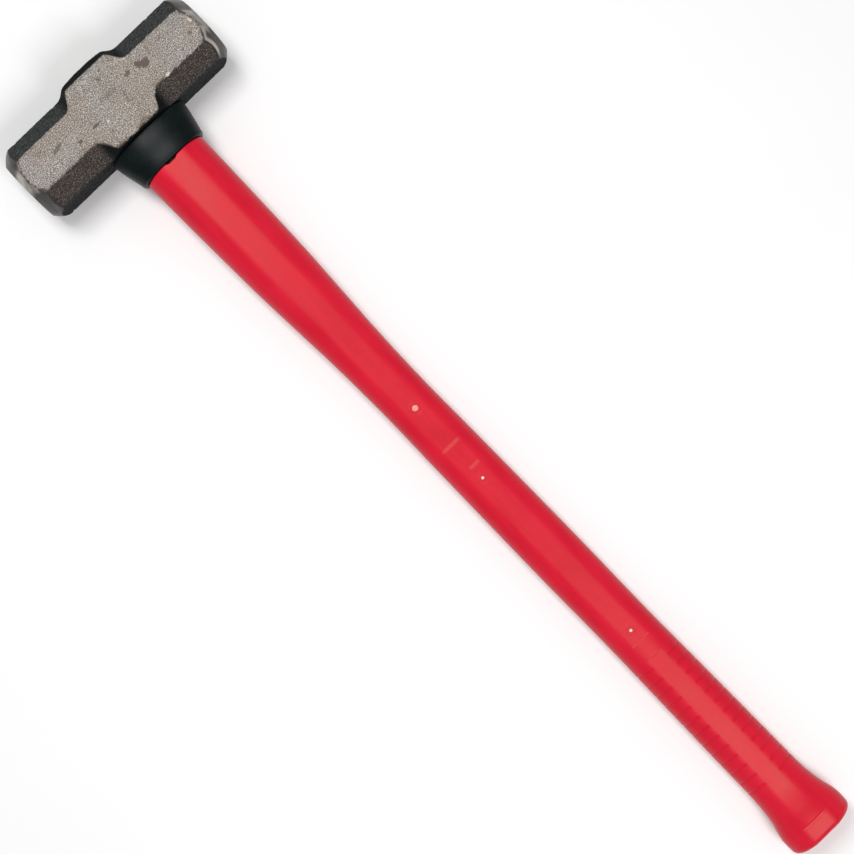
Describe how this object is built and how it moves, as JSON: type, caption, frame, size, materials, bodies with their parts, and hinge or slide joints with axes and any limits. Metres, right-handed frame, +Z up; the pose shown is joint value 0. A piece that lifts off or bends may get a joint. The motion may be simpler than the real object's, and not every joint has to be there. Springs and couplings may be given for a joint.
{
  "type": "sledgehammer",
  "caption": "Long-handled double-face sledgehammer: octagonal forged head, black rubber collar and red moulded handle with grip grooves and a flared knob.",
  "frame": {"origin": "middle of the hammer's length and of the head's length, on the plane under the head's lower side", "axes": "+X along the head from face to face, +Y along the handle towards the head, +Z up, away from the surface the head lies on"},
  "size_m": [0.1974, 0.863, 0.066],
  "materials": {
    "forged_steel": "shot-blasted forging with dark scale on its lower and side facets and ground striking faces",
    "fibreglass": "pultruded rod with fine lengthwise fibres",
    "epoxy": "cast, slightly glossy",
    "black_rubber": "smooth moulded rubber, soft sheen",
    "red_plastic": "satin moulded plastic"
  },
  "bodies": {
    "root": {"head": "forged_steel", "handle_core": "fibreglass", "eye_resin": "epoxy", "collar": "black_rubber", "handle_jacket": "red_plastic"}
  },
  "joints": []
}
